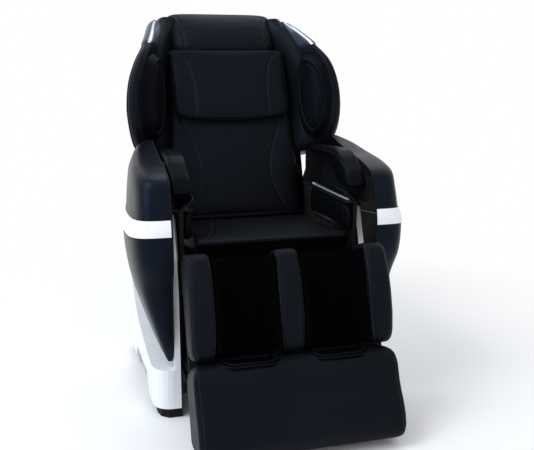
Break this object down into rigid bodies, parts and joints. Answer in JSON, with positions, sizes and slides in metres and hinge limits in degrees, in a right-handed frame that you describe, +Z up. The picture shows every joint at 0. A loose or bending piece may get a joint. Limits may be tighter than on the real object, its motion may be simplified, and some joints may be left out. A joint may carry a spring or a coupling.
{
  "type": "massage chair",
  "caption": "Full-body massage chair with reclining back, roller carriage, hand slots, swing-up leg rest and sliding foot section between leaf-shaped side shells.",
  "frame": {"origin": "on the floor below the middle of the chair's bounding box", "axes": "+Z up, the chair faces -Y, +X is to the right of someone looking at its front"},
  "size_m": [0.87, 1.2424, 1.2615],
  "materials": {
    "leather": "soft sheen, fine grain",
    "gloss_black": "piano gloss",
    "gloss_white": "gloss",
    "matte_black": "fine texture",
    "frame_steel": "satin powder coat",
    "bright_steel": "brushed",
    "silver_trim": "silver gloss",
    "rubber": "matte"
  },
  "bodies": {
    "base": {"base_frame": "frame_steel", "slide_rails": "bright_steel", "left_skirt": "gloss_white", "right_skirt": "gloss_white", "left_plinth": "matte_black", "right_plinth": "matte_black", "rear_apron": "matte_black", "control_box": "matte_black", "air_pump": "matte_black", "mains_inlet": "matte_black", "base_bolts": "bright_steel"},
    "rocker": {"power_rocker": "matte_black"},
    "wheel_left": {"left_wheel": "rubber"},
    "wheel_right": {"right_wheel": "rubber"},
    "carriage": {"seat_frame": "frame_steel", "slide_blocks": "matte_black", "seat_board": "matte_black", "seat_cushion": "leather", "left_bolster": "leather", "right_bolster": "leather", "left_arm_frame": "matte_black", "right_arm_frame": "matte_black", "left_arm_pad": "leather", "right_arm_pad": "leather", "arm_trims": "silver_trim", "hip_pins": "bright_steel", "knee_pins": "bright_steel", "left_shell_upper": "gloss_black", "right_shell_upper": "gloss_black", "left_shell_stripe": "gloss_white", "right_shell_stripe": "gloss_white", "left_shell_lower": "gloss_black", "right_shell_lower": "gloss_black"},
    "backrest": {"back_frame": "frame_steel", "back_pad": "leather", "head_section": "leather", "rear_cover": "gloss_black", "left_wing": "gloss_black", "right_wing": "gloss_black", "left_wing_pad": "leather", "right_wing_pad": "leather", "speakers": "silver_trim"},
    "pillow": {"head_pillow": "leather"},
    "roller_unit": {"roller_carriage": "matte_black"},
    "yoke_left": {"left_yoke": "bright_steel"},
    "yoke_right": {"right_yoke": "bright_steel"},
    "roller_ul": {"left_upper_roller": "rubber"},
    "roller_ll": {"left_lower_roller": "rubber"},
    "roller_ur": {"right_upper_roller": "rubber"},
    "roller_lr": {"right_lower_roller": "rubber"},
    "legrest": {"leg_frame": "frame_steel", "left_calf_pad": "leather", "centre_calf_pad": "leather", "right_calf_pad": "leather"},
    "foot": {"foot_housing": "leather"},
    "sole": {"sole_rollers": "rubber"},
    "back_barrel": {"back_actuator": "matte_black"},
    "back_rod": {"back_actuator_rod": "bright_steel"},
    "leg_barrel": {"leg_actuator": "matte_black"},
    "leg_rod": {"leg_actuator_rod": "bright_steel"}
  },
  "joints": [
    {"name": "seat_slide", "type": "slide", "parent": "base", "child": "carriage", "axis": [0, -1, 0], "range_m": [0, 0.12]},
    {"name": "back_recline", "type": "hinge", "parent": "carriage", "child": "backrest", "pos_m": [0, 0.192, 0.505], "axis": [-1, 0, 0], "range_deg": [0, 50]},
    {"name": "pillow_flip", "type": "hinge", "parent": "backrest", "child": "pillow", "pos_m": [0, 0.34774, 1.12455], "axis": [-1, 0, 0], "range_deg": [0, 150]},
    {"name": "roller_travel", "type": "slide", "parent": "backrest", "child": "roller_unit", "axis": [0, 0.3338, 0.9426], "range_m": [0, 0.27]},
    {"name": "knead_left", "type": "hinge", "parent": "roller_unit", "child": "yoke_left", "pos_m": [0, 0.32663, 0.66949], "axis": [1, 0, 0], "range_deg": [-6, 6]},
    {"name": "knead_right", "type": "hinge", "parent": "roller_unit", "child": "yoke_right", "pos_m": [0, 0.32663, 0.66949], "axis": [1, 0, 0], "range_deg": [-6, 6]},
    {"name": "upper_left_roller_spin", "type": "hinge", "parent": "yoke_left", "child": "roller_ul", "pos_m": [0, 0.33959, 0.75402], "axis": [1, 0, 0], "continuous": true},
    {"name": "lower_left_roller_spin", "type": "hinge", "parent": "yoke_left", "child": "roller_ll", "pos_m": [0, 0.28351, 0.59565], "axis": [1, 0, 0], "continuous": true},
    {"name": "upper_right_roller_spin", "type": "hinge", "parent": "yoke_right", "child": "roller_ur", "pos_m": [0, 0.33959, 0.75402], "axis": [1, 0, 0], "continuous": true},
    {"name": "lower_right_roller_spin", "type": "hinge", "parent": "yoke_right", "child": "roller_lr", "pos_m": [0, 0.28351, 0.59565], "axis": [1, 0, 0], "continuous": true},
    {"name": "legrest_lift", "type": "hinge", "parent": "carriage", "child": "legrest", "pos_m": [0, -0.32, 0.512], "axis": [-1, 0, 0], "range_deg": [0, 80]},
    {"name": "footrest_extend", "type": "slide", "parent": "legrest", "child": "foot", "axis": [0, -0.3256, -0.9455], "range_m": [0, 0.12]},
    {"name": "sole_roller_spin", "type": "hinge", "parent": "foot", "child": "sole", "pos_m": [0, -0.53998, 0.07586], "axis": [1, 0, 0], "continuous": true},
    {"name": "left_wheel_spin", "type": "hinge", "parent": "base", "child": "wheel_left", "pos_m": [0, 0.346, 0.036], "axis": [1, 0, 0], "continuous": true},
    {"name": "right_wheel_spin", "type": "hinge", "parent": "base", "child": "wheel_right", "pos_m": [0, 0.346, 0.036], "axis": [1, 0, 0], "continuous": true},
    {"name": "power_switch", "type": "hinge", "parent": "base", "child": "rocker", "pos_m": [0.15, 0.38, 0.15], "axis": [1, 0, 0], "range_deg": [-9, 9]},
    {"name": "back_barrel_pivot", "type": "hinge", "parent": "carriage", "child": "back_barrel", "pos_m": [0, -0.112, 0.387], "axis": [1, 0, 0], "range_deg": [0, 3.1]},
    {"name": "back_rod_slide", "type": "slide", "parent": "back_barrel", "child": "back_rod", "axis": [0, -0.9956, -0.0936], "range_m": [0, 0.07621]},
    {"name": "leg_barrel_pivot", "type": "hinge", "parent": "carriage", "child": "leg_barrel", "pos_m": [0, 0.072, 0.387], "axis": [-1, 0, 0], "range_deg": [0, 8.12]},
    {"name": "leg_rod_slide", "type": "slide", "parent": "leg_barrel", "child": "leg_rod", "axis": [0, -0.9992, 0.0398], "range_m": [0, 0.1288]}
  ],
  "couplings": [
    {"joint": "back_barrel_pivot", "follows": "back_recline", "ratio": 0.06154},
    {"joint": "back_rod_slide", "follows": "back_recline", "m_per_rad": 0.08722},
    {"joint": "leg_barrel_pivot", "follows": "legrest_lift", "ratio": 0.10121},
    {"joint": "leg_rod_slide", "follows": "legrest_lift", "m_per_rad": 0.09217},
    {"joint": "knead_right", "follows": "knead_left", "ratio": -1}
  ]
}
